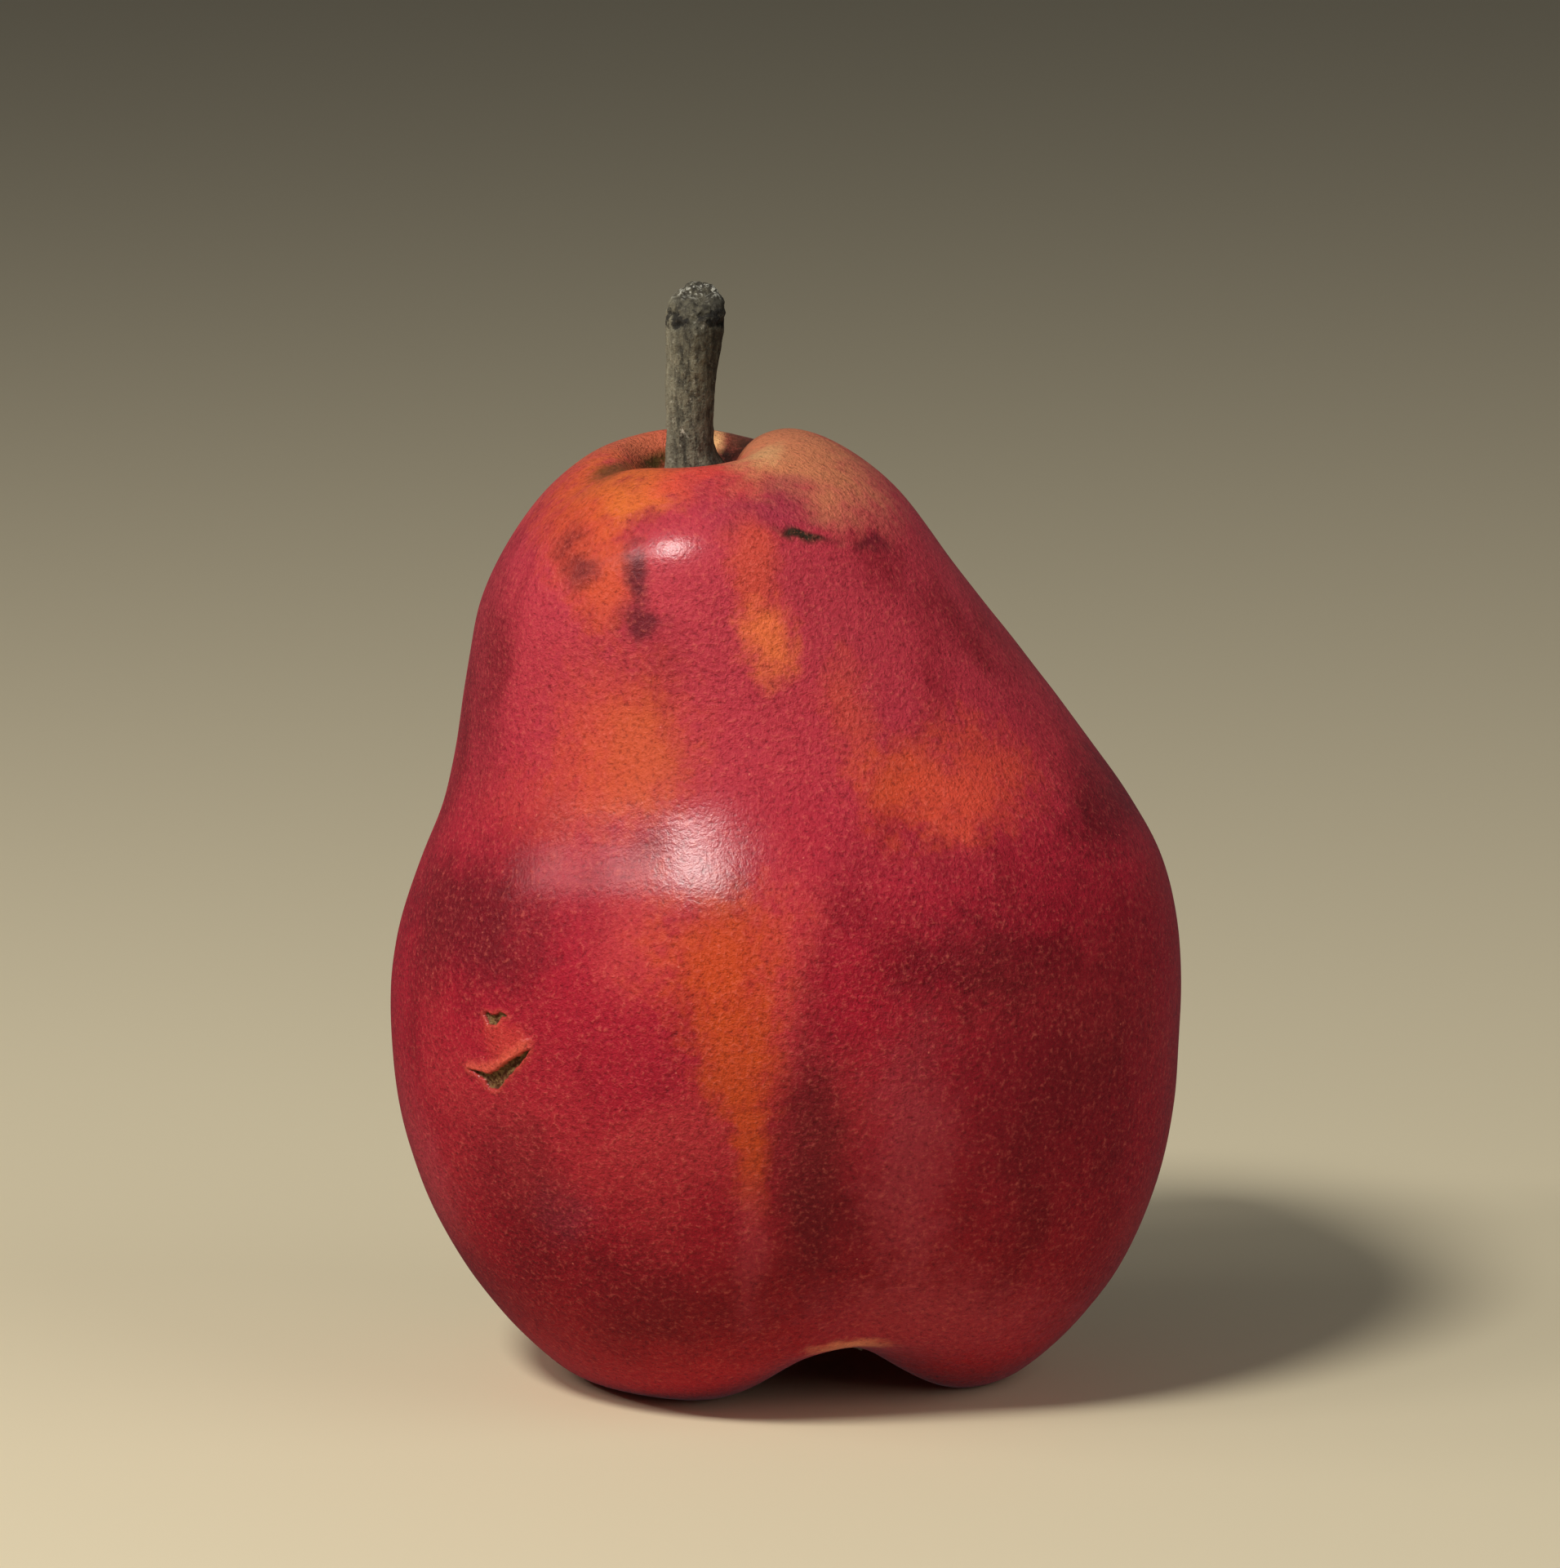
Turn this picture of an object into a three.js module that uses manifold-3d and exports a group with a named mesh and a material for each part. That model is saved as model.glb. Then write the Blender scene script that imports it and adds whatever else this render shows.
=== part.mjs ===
// A red pear standing on its own base: the fruit, its woody stem and its dried calyx.
// Millimetres, +Z up. The front, -Y, is the side where the deepest furrow climbs from the base.
import * as THREE from "three";
import { ParametricGeometry } from "three/addons/geometries/ParametricGeometry.js";
import { mergeVertices } from "three/addons/utils/BufferGeometryUtils.js";
import Module from "manifold-3d";

// Driving dimensions
const BELLY_RADIUS = 39;
const FRUIT_HEIGHT = 94.6;
const STEM_RADIUS = 2.3;
const STEM_TOP = 107.6; // height of the middle of its broken end
const CLEARANCE = 0.3; // between the fruit and what grows out of it

// The stem stands in the cavity at the top, left of the middle, and the calyx hangs in the basin below.
const stemSocket = { x: -9.2, y: 0, mouth: 86.2, floor: 82.8, radius: 3.3 };
const calyxSocket = { x: 4, y: 0, mouth: 7.6, floor: 11.4, radius: 3.6 };
const core = new THREE.Vector3(1.5, 0, 40);

// Levels of the skin, from the calyx round the base, up the flank and over the shoulder to the stem.
// Each says how far the skin reaches on four sides, in hundredths of BELLY_RADIUS, and how high it
// lies there, in hundredths of FRUIT_HEIGHT. The neck leans left, and the right shoulder is a high lobe.
const SIDES = ["left", "right", "front", "back"];
const SKIN_LEVELS = [
  { left: [-17, 4.2], right: [34, 4.3], front: [-24, 4.4], back: [25, 4.2] },
  { left: [-42, -0.3], right: [49, -0.3], front: [-33, -0.3], back: [38, -0.3] },
  { left: [-52, -0.3], right: [57, -0.3], front: [-41, -0.3], back: [46, -0.3] },
  { left: [-65, 3.7], right: [71, 4.2], front: [-61, 3.9], back: [63, 3.8] },
  { left: [-84.5, 13.7], right: [87.5, 13.7], front: [-84, 13.7], back: [83, 13.7] },
  { left: [-96.5, 25.4], right: [97.7, 25.4], front: [-95.5, 25.4], back: [93, 25.4] },
  { left: [-100, 37], right: [100, 37.5], front: [-101, 37.5], back: [95, 38] },
  { left: [-98.4, 47], right: [99.4, 47], front: [-100, 47], back: [92.8, 47] },
  { left: [-92.4, 55], right: [95.4, 55], front: [-95.5, 55], back: [88.5, 55] },
  { left: [-86.6, 61], right: [87.4, 61], front: [-88.3, 61], back: [83.5, 61] },
  { left: [-83.2, 67], right: [76.7, 67], front: [-79.3, 67], back: [78, 67] },
  { left: [-80.2, 75], right: [62.2, 75], front: [-72, 75], back: [70, 75] },
  { left: [-75.5, 84], right: [43.8, 85], front: [-67.4, 84.5], back: [59, 85] },
  { left: [-61, 93.5], right: [26, 94.6], front: [-58.2, 93.4], back: [46, 94.8] },
  { left: [-44, 97.5], right: [4, 99.5], front: [-34, 98], back: [29, 98.9] },
  { left: [-36, 94.6], right: [-9.5, 97.5], front: [-16, 94], back: [17, 94.6] },
];

// Furrows in the skin. bearing is where one lies, in degrees from +X towards +Y, and spread its width
// either way. It starts, is deepest and ends at these levels, counted from the calyx.
const FURROWS = [
  { bearing: 284, spread: 18, depth: 6.5, starts: 0, deepest: 2.4, ends: 8.8 },
  { bearing: 28, spread: 15, depth: 1.5, starts: 0, deepest: 2.4, ends: 6 },
  { bearing: 98, spread: 17, depth: 2.2, starts: 0, deepest: 2.4, ends: 7 },
  { bearing: 163, spread: 14, depth: 1.2, starts: 0, deepest: 2.4, ends: 6 },
  { bearing: 196, spread: 16, depth: 1.2, starts: 12.5, deepest: 15, ends: 17 },
  { bearing: 56, spread: 13, depth: 1.5, starts: 12.5, deepest: 15.2, ends: 17 },
];

const FACES_AROUND = 60;
const FACES_PER_LEVEL = 3;

// A socket's rim as one more level of the skin, round and level.
function rimOf({ x, y, mouth, radius }) {
  const across = (reach) => (100 * reach) / BELLY_RADIUS;
  const height = (100 * mouth) / FRUIT_HEIGHT;
  return {
    left: [across(x - radius), height],
    right: [across(x + radius), height],
    front: [across(y - radius), height],
    back: [across(y + radius), height],
  };
}

const levels = [rimOf(calyxSocket), ...SKIN_LEVELS, rimOf(stemSocket)];
const outlines = Object.fromEntries(
  SIDES.map((side) => {
    const points = levels.map(({ [side]: [reach, height] }) => {
      return new THREE.Vector3((reach / 100) * BELLY_RADIUS, 0, (height / 100) * FRUIT_HEIGHT);
    });
    return [side, new THREE.CatmullRomCurve3(points, false, "centripetal")];
  }),
);

// A point of the skin with no furrows: an oval ring through the four outlines at that level.
function smoothSkin(angle, level) {
  const share = THREE.MathUtils.clamp(level / (levels.length - 1), 0, 1);
  const [left, right, front, back] = SIDES.map((side) => outlines[side].getPoint(share));
  const cos = Math.cos(angle);
  const sin = Math.sin(angle);
  return new THREE.Vector3(
    (right.x + left.x) / 2 + (cos * (right.x - left.x)) / 2,
    (back.x + front.x) / 2 + (sin * (back.x - front.x)) / 2,
    (right.z + left.z + front.z + back.z) / 4 +
      (cos * (right.z - left.z)) / 2 +
      (sin * (back.z - front.z)) / 2 +
      (Math.cos(2 * angle) * (right.z + left.z - front.z - back.z)) / 4,
  );
}

// How deep the furrows go at a place on the skin.
function furrowDepth(angle, level) {
  const degrees = THREE.MathUtils.radToDeg(angle);
  return FURROWS.reduce((sum, { bearing, spread, depth, starts, deepest, ends }) => {
    const aside = THREE.MathUtils.euclideanModulo(degrees - bearing + 180, 360) - 180;
    const along =
      level < deepest
        ? THREE.MathUtils.smoothstep(level, starts, deepest)
        : 1 - THREE.MathUtils.smoothstep(level, deepest, ends);
    return sum + depth * along * Math.exp(-0.5 * (aside / spread) ** 2);
  }, 0);
}

// The skin with its furrows pressed in towards the core. The base is flat where it stands.
function skin(angle, level) {
  const place = smoothSkin(angle, level);
  const inward = core.clone().sub(place).normalize();
  place.addScaledVector(inward, furrowDepth(angle, level));
  place.z = Math.max(place.z, 0);
  return place;
}

// The blind end of a socket: its floor's rim at share 1 and the middle of its floor at share 0.
function socketFloor({ x, y, floor, radius }, angle, share) {
  const reach = radius * share;
  return new THREE.Vector3(x + reach * Math.cos(angle), y + reach * Math.sin(angle), floor);
}

// The fruit is one closed surface, from the floor of the calyx socket to the floor of the stem socket.
function fruitGeometry() {
  const skinRings = (levels.length - 1) * FACES_PER_LEVEL;
  const rings = skinRings + 4; // two more for each socket
  return new ParametricGeometry(
    (u, v, target) => {
      const angle = 2 * Math.PI * u;
      const ring = Math.round(v * rings);
      if (ring < 2) target.copy(socketFloor(calyxSocket, angle, ring));
      else if (ring > rings - 2) target.copy(socketFloor(stemSocket, angle, rings - ring));
      else target.copy(skin(angle, (ring - 2) / FACES_PER_LEVEL));
    },
    FACES_AROUND,
    rings,
  );
}

// The stem: slender in the middle, swollen at its broken end, which slopes down towards the front.
function stemGeometry() {
  const root = stemSocket.floor + CLEARANCE;
  const mouth = stemSocket.mouth;
  const outline = [
    [0, root],
    [0.9 * (stemSocket.radius - CLEARANCE), root],
    [stemSocket.radius - CLEARANCE, root + 1],
    [stemSocket.radius - CLEARANCE, mouth],
    [1.17 * STEM_RADIUS, mouth + 1.8],
    [1.03 * STEM_RADIUS, mouth + 4.5],
    [0.98 * STEM_RADIUS, mouth + 8],
    [STEM_RADIUS, mouth + 12],
    [1.1 * STEM_RADIUS, mouth + 15.5],
    [1.22 * STEM_RADIUS, mouth + 18.5],
    [1.2 * STEM_RADIUS, STEM_TOP - 1.1],
    [1.02 * STEM_RADIUS, STEM_TOP - 0.3],
    [0.55 * STEM_RADIUS, STEM_TOP],
    [0, STEM_TOP - 0.1],
  ];
  const sides = 24;
  const lathe = new THREE.LatheGeometry(
    outline.map(([radius, height]) => new THREE.Vector2(radius, height)),
    sides,
  ).rotateX(Math.PI / 2);
  const slope = Math.tan(THREE.MathUtils.degToRad(32));
  const bow = 0.7; // how far the top stands to the right of the root
  const flute = 0.05; // depth of its shallow flutes, as a share of the radius
  const places = lathe.attributes.position;
  for (let i = 0; i < places.count; i += 1) {
    const p = new THREE.Vector3().fromBufferAttribute(places, i);
    const rise = THREE.MathUtils.clamp((p.z - mouth) / (STEM_TOP - mouth), 0, 1);
    const angle = Math.atan2(p.y, p.x);
    const fluted = 1 + flute * Math.sin(4 * angle + 2 * rise) * THREE.MathUtils.smoothstep(rise, 0, 0.2);
    p.x *= fluted;
    p.y *= fluted;
    p.z += p.y * slope * THREE.MathUtils.smoothstep(rise, 0.6, 1);
    p.x += stemSocket.x - 0.35 * Math.sin(Math.PI * rise) + bow * rise * rise;
    p.y += stemSocket.y;
    places.setXYZ(i, p.x, p.y, p.z);
  }
  return lathe;
}

// One dried sepal, a thin pointed blade that leaves the cup downwards and curls out towards its tip.
function sepalGeometry({ length, width, curl }) {
  const thickness = 0.8;
  const rootRadius = 2.55;
  const rootHeight = calyxSocket.mouth - 0.9;
  const rootLean = 0.3; // radians out from straight down, and curl is how much more there is at the tip
  const cupping = 0.12; // how far the blade's edges bend back, per mm squared
  return new ParametricGeometry(
    (u, v, target) => {
      const angle = 2 * Math.PI * u;
      const taper = v === 0 ? 0 : (0.65 + 1.4 * v) * (1 - v) ** 0.8;
      const aside = (width / 2) * taper * Math.cos(angle);
      const thick = v === 0 || v === 1 ? 0 : (thickness / 2) * Math.sin(angle);
      const lean = rootLean + curl * v;
      const meanLean = rootLean + (curl * v) / 2;
      target.set(
        rootRadius + length * v * Math.sin(meanLean) + thick * Math.cos(lean) - cupping * aside ** 2,
        aside,
        rootHeight - length * v * Math.cos(meanLean) + thick * Math.sin(lean),
      );
    },
    10,
    9,
  );
}

// The calyx: a short woody cup, open below, with five sepals round its lip.
async function calyxGeometry() {
  const wasm = await Module();
  wasm.setup();
  const plug = calyxSocket.radius - CLEARANCE;
  const lip = calyxSocket.mouth - 1.6;
  const cup = new THREE.LatheGeometry(
    [
      [0, lip + 2.6],
      [1.7, lip + 2.2],
      [2.1, lip],
      [2.9, lip],
      [plug, calyxSocket.mouth - 0.2],
      [plug, calyxSocket.floor - CLEARANCE],
      [0, calyxSocket.floor - CLEARANCE],
    ].map(([radius, height]) => new THREE.Vector2(radius, height)),
    30,
  ).rotateX(Math.PI / 2);
  const sepals = [
    { length: 5.2, width: 3.3, curl: 1.0 },
    { length: 4.7, width: 3.0, curl: 1.25 },
    { length: 5.4, width: 3.2, curl: 0.85 },
    { length: 4.4, width: 3.1, curl: 1.15 },
    { length: 5.0, width: 3.4, curl: 0.95 },
  ];
  const solids = sepals.map((sepal, i) => {
    return solidOf(wasm, sepalGeometry(sepal).rotateZ(((i + 0.25) / sepals.length) * 2 * Math.PI));
  });
  const whole = solids.reduce((sum, solid) => sum.add(solid), solidOf(wasm, cup));
  return geometryOf(whole).translate(calyxSocket.x, calyxSocket.y, 0);
}

// A closed geometry with its corners shared and its collapsed triangles dropped, as a solid.
function solidOf(wasm, geometry) {
  const bare = geometry.clone();
  bare.deleteAttribute("normal");
  bare.deleteAttribute("uv");
  const merged = mergeVertices(bare, 1e-4);
  const corners = [];
  for (let i = 0; i < merged.index.count; i += 3) {
    const [a, b, c] = [0, 1, 2].map((k) => merged.index.getX(i + k));
    if (a !== b && b !== c && c !== a) corners.push(a, b, c);
  }
  return new wasm.Manifold(
    new wasm.Mesh({
      numProp: 3,
      vertProperties: new Float32Array(merged.attributes.position.array),
      triVerts: new Uint32Array(corners),
    }),
  );
}

function geometryOf(solid) {
  const { vertProperties, triVerts } = solid.getMesh();
  const geometry = new THREE.BufferGeometry();
  geometry.setAttribute("position", new THREE.BufferAttribute(vertProperties, 3));
  geometry.setIndex(new THREE.BufferAttribute(triVerts, 1));
  geometry.computeVertexNormals();
  return geometry;
}

function piece(name, geometry, color, roughness) {
  const mesh = new THREE.Mesh(geometry, new THREE.MeshStandardMaterial({ color, roughness }));
  mesh.name = name;
  return mesh;
}

const pear = new THREE.Group();
pear.add(
  piece("fruit", fruitGeometry(), 0xa3202c, 0.4),
  piece("stem", stemGeometry(), 0x57503f, 0.85),
  piece("calyx", await calyxGeometry(), 0x3b2a1e, 0.9),
);

// The origin is under the middle of the whole pear, at the height it stands on.
const middle = new THREE.Box3().setFromObject(pear).getCenter(new THREE.Vector3());
pear.position.set(-middle.x, -middle.y, 0);

export default pear;
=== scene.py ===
"""A red pear that stands on its base: mottled skin with its marks, woody stem and dried calyx."""

import math
import random

import bpy
import numpy as np
from mathutils import Matrix, Vector, noise
from mathutils.bvhtree import BVHTree


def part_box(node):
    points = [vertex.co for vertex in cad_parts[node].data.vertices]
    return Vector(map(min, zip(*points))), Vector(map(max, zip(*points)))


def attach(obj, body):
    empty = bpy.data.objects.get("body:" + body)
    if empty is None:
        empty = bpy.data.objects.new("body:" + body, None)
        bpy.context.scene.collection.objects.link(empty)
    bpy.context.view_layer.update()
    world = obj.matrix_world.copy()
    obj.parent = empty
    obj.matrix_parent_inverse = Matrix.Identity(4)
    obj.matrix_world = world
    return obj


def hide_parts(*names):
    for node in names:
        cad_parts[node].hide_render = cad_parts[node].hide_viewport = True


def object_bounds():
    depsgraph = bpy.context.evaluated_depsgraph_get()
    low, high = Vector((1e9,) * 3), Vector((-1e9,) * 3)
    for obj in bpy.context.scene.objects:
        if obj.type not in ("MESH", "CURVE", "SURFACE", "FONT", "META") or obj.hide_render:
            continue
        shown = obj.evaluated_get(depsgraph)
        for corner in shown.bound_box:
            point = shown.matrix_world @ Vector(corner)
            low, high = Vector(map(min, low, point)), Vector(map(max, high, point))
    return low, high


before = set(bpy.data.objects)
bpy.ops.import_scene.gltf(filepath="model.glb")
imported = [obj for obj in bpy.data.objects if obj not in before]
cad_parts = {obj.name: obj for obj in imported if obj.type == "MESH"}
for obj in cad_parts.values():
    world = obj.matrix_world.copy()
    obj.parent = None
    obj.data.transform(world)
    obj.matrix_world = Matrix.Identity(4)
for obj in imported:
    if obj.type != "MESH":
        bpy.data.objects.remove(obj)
cad_low, cad_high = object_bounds()

MM = 0.001

# The photograph's frame, in its pixels, and where the pear stands in it
PHOTO_WIDTH = 1911
PHOTO_HEIGHT = 1921
PIXELS_PER_METRE = 12460
CAMERA_DISTANCE = 0.9
CAMERA_ELEVATION = math.radians(10)
CAMERA_TARGET = Vector((-0.6, 0, 59.3)) * MM

# Camera

LOOK = Vector((0, math.cos(CAMERA_ELEVATION), -math.sin(CAMERA_ELEVATION)))
CAMERA_PLACE = CAMERA_TARGET - CAMERA_DISTANCE * LOOK
CAMERA_RIGHT = Vector((1, 0, 0))
CAMERA_UP = CAMERA_RIGHT.cross(LOOK)
SENSOR_MM = 36


def make_camera():
    long_side = PHOTO_HEIGHT / PIXELS_PER_METRE
    data = bpy.data.cameras.new("photo_camera")
    data.sensor_width = SENSOR_MM
    data.lens = SENSOR_MM * CAMERA_DISTANCE / long_side
    camera = bpy.data.objects.new("photo_camera", data)
    camera.location = CAMERA_PLACE
    camera.rotation_euler = LOOK.to_track_quat("-Z", "Y").to_euler()
    bpy.context.scene.collection.objects.link(camera)
    bpy.context.scene.camera = camera


def sight_line(x, y):
    """Direction in which the camera sees a pixel of the photograph."""
    aside = (x - PHOTO_WIDTH / 2) / PIXELS_PER_METRE / CAMERA_DISTANCE
    above = (PHOTO_HEIGHT / 2 - y) / PIXELS_PER_METRE / CAMERA_DISTANCE
    return (LOOK + aside * CAMERA_RIGHT + above * CAMERA_UP).normalized()


def photo_pixel(place):
    """Where the camera sees a place, in the photograph's pixels."""
    sight = place - CAMERA_PLACE
    spread = CAMERA_DISTANCE * PIXELS_PER_METRE / sight.dot(LOOK)
    x = PHOTO_WIDTH / 2 + sight.dot(CAMERA_RIGHT) * spread
    y = PHOTO_HEIGHT / 2 - sight.dot(CAMERA_UP) * spread
    return x, y


# Mesh helpers

# How near two corners of a solid's faces are to be one corner
SAME_CORNER = 0.002 * MM


def select_only(piece):
    bpy.ops.object.select_all(action="DESELECT")
    piece.select_set(True)
    bpy.context.view_layer.objects.active = piece


def copy_of_node(node, name):
    """A copy of a solid as a mesh of joined quads that can be subdivided."""
    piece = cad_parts[node].copy()
    piece.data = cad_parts[node].data.copy()
    piece.name = name
    piece.parent = None
    for key in list(piece.keys()):
        del piece[key]
    piece.data.materials.clear()
    bpy.context.scene.collection.objects.link(piece)
    select_only(piece)
    bpy.ops.object.mode_set(mode="EDIT")
    bpy.ops.mesh.select_all(action="SELECT")
    bpy.ops.mesh.remove_doubles(threshold=SAME_CORNER)
    bpy.ops.mesh.tris_convert_to_quads(face_threshold=math.pi, shape_threshold=math.pi)
    bpy.ops.object.mode_set(mode="OBJECT")
    return piece


def subdivide(piece, levels):
    smooth = piece.modifiers.new("smooth", "SUBSURF")
    smooth.levels = levels
    smooth.render_levels = levels
    select_only(piece)
    bpy.ops.object.modifier_apply(modifier=smooth.name)


def split_faces_near(piece, place, reach, cuts):
    """Splits the faces round a place, so that a small mark there has the mesh it needs."""
    for face in piece.data.polygons:
        face.select = (face.center - place).length < reach
    for edge in piece.data.edges:
        edge.select = False
    for corner in piece.data.vertices:
        corner.select = False
    select_only(piece)
    bpy.ops.object.mode_set(mode="EDIT")
    bpy.ops.mesh.select_mode(type="FACE")
    bpy.ops.mesh.subdivide(number_cuts=cuts, smoothness=0)
    bpy.ops.object.mode_set(mode="OBJECT")


def push_along_normals(piece, depth_at):
    """Moves each vertex out along its normal by depth_at(place, normal), in metres."""
    places = [vertex.co.copy() for vertex in piece.data.vertices]
    normals = [vertex.normal.copy() for vertex in piece.data.vertices]
    for vertex, place, normal in zip(piece.data.vertices, places, normals):
        vertex.co = place + normal * depth_at(place, normal)


def apply_transform(piece):
    select_only(piece)
    bpy.ops.object.transform_apply(location=True, rotation=True, scale=True)


def shade_smooth(piece, degrees=180):
    select_only(piece)
    bpy.ops.object.shade_smooth_by_angle(angle=math.radians(degrees))


def smoothstep(value, low, high):
    share = min(max((value - low) / (high - low), 0), 1)
    return share * share * (3 - 2 * share)


def ridge(value, middle, reach):
    """A smooth hump, 1 at the middle, that dies away over its reach either way."""
    return math.exp(-(((value - middle) / reach) ** 2))


def layered_noise(place, layers):
    """Noise of several kinds added up: how wide and how high the bumps of each are."""
    return sum(noise.noise(place / width) * height for width, height in layers)


# Node helpers


def colour(red, green, blue):
    """A colour picked on screen, 0 to 255, as the linear light that a shader takes."""
    linear = []
    for channel in (red, green, blue):
        c = channel / 255
        linear.append(c / 12.92 if c <= 0.04045 else ((c + 0.055) / 1.055) ** 2.4)
    return (*linear, 1)


# How much of a material's relief its coat follows
COAT_RELIEF = 0.08


class Recipe:
    """A material's nodes, added one after another."""

    def __init__(self, name):
        self.material = bpy.data.materials.new(name)
        self.material.use_nodes = True
        self.tree = self.material.node_tree
        self.shader = self.tree.nodes["Principled BSDF"]
        self.place = self.add("ShaderNodeTexCoord").outputs["Object"]

    def add(self, kind, settings=None, inputs=None):
        """A new node with its settings made and its inputs set or linked."""
        node = self.tree.nodes.new(kind)
        for name, value in (settings or {}).items():
            setattr(node, name, value)
        for name, value in (inputs or {}).items():
            self.feed(node.inputs[name], value)
        return node

    def feed(self, socket, value):
        if isinstance(value, bpy.types.NodeSocket):
            self.tree.links.new(value, socket)
        else:
            socket.default_value = value

    def noise(self, size, detail=2, roughness=0.5, place=None, seed=0):
        """Soft noise from 0 to 1 with blotches of about that size in metres."""
        inputs = {
            "Vector": place or self.place,
            "W": seed,
            "Scale": 1 / size,
            "Detail": detail,
            "Roughness": roughness,
        }
        node = self.add("ShaderNodeTexNoise", {"noise_dimensions": "4D"}, inputs)
        return node.outputs["Fac"]

    def ramp(self, value, low, high, out_low=0, out_high=1):
        """The value's share of the way from low to high, eased at both ends."""
        inputs = {
            "Value": value,
            "From Min": low,
            "From Max": high,
            "To Min": out_low,
            "To Max": out_high,
        }
        settings = {"interpolation_type": "SMOOTHSTEP"}
        return self.add("ShaderNodeMapRange", settings, inputs).outputs["Result"]

    def math(self, operation, *values):
        inputs = dict(enumerate(values))
        return self.add("ShaderNodeMath", {"operation": operation}, inputs).outputs["Value"]

    def vector_math(self, operation, *values):
        """The result's sockets: Vector for a vector, and Value for a length or a distance."""
        inputs = dict(enumerate(values))
        return self.add("ShaderNodeVectorMath", {"operation": operation}, inputs).outputs

    def stretched(self, place, scale):
        """A place with each axis multiplied, so that a texture there is drawn out."""
        inputs = {"Vector": place, "Scale": scale}
        return self.add("ShaderNodeMapping", None, inputs).outputs["Vector"]

    def axes(self, place):
        return self.add("ShaderNodeSeparateXYZ", None, {"Vector": place}).outputs

    def channels(self, tint):
        return self.add("ShaderNodeSeparateColor", None, {"Color": tint}).outputs

    def mix(self, under, over, share):
        """Lays one colour over another, by a share from 0 to 1."""
        node = self.add("ShaderNodeMix", {"data_type": "RGBA"}, {"Factor": share, 6: under, 7: over})
        return node.outputs[2]

    def finish(self, base, roughness, height, bump):
        """Links the colour, the roughness and the relief, which is as deep as bump, in metres."""
        self.feed(self.shader.inputs["Base Color"], base)
        self.feed(self.shader.inputs["Roughness"], roughness)
        for socket, depth in (("Normal", bump), ("Coat Normal", bump * COAT_RELIEF)):
            relief = self.add("ShaderNodeBump", None, {"Height": height, "Distance": depth})
            self.feed(self.shader.inputs[socket], relief.outputs["Normal"])
        return self.material


# Skin

# Colours of the marks
TAN = colour(206, 126, 86)
# Tan skin made paler as painted light
PALE_TAN = colour(226, 172, 116)
OLIVE_TAN = colour(206, 108, 76)
RUSSET = colour(200, 98, 84)
ORANGE = colour(206, 80, 44)
LIT_ORANGE = colour(226, 108, 60)
AMBER = colour(216, 106, 46)
BURNT = colour(196, 70, 22)
CORAL = colour(200, 66, 64)
LIT_CORAL = colour(222, 74, 58)
ROSE = colour(186, 58, 72)
MAUVE = colour(146, 44, 66)
MAROON = colour(82, 8, 18)
BRUISE = colour(88, 22, 34)
# Painted light bounced off the floor, for the notch's rim
NOTCH_BOUNCE_LIGHT = colour(250, 150, 108)
# Painted shade, for the cavity's trough left of the stem
OLIVE = colour(76, 60, 26)
GREEN_BLACK = colour(44, 38, 26)
# Painted shadow of the stem on the cavity's back wall, this and DARK_BROWN
BROWN = colour(98, 60, 44)
DARK_BROWN = colour(46, 28, 20)

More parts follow.
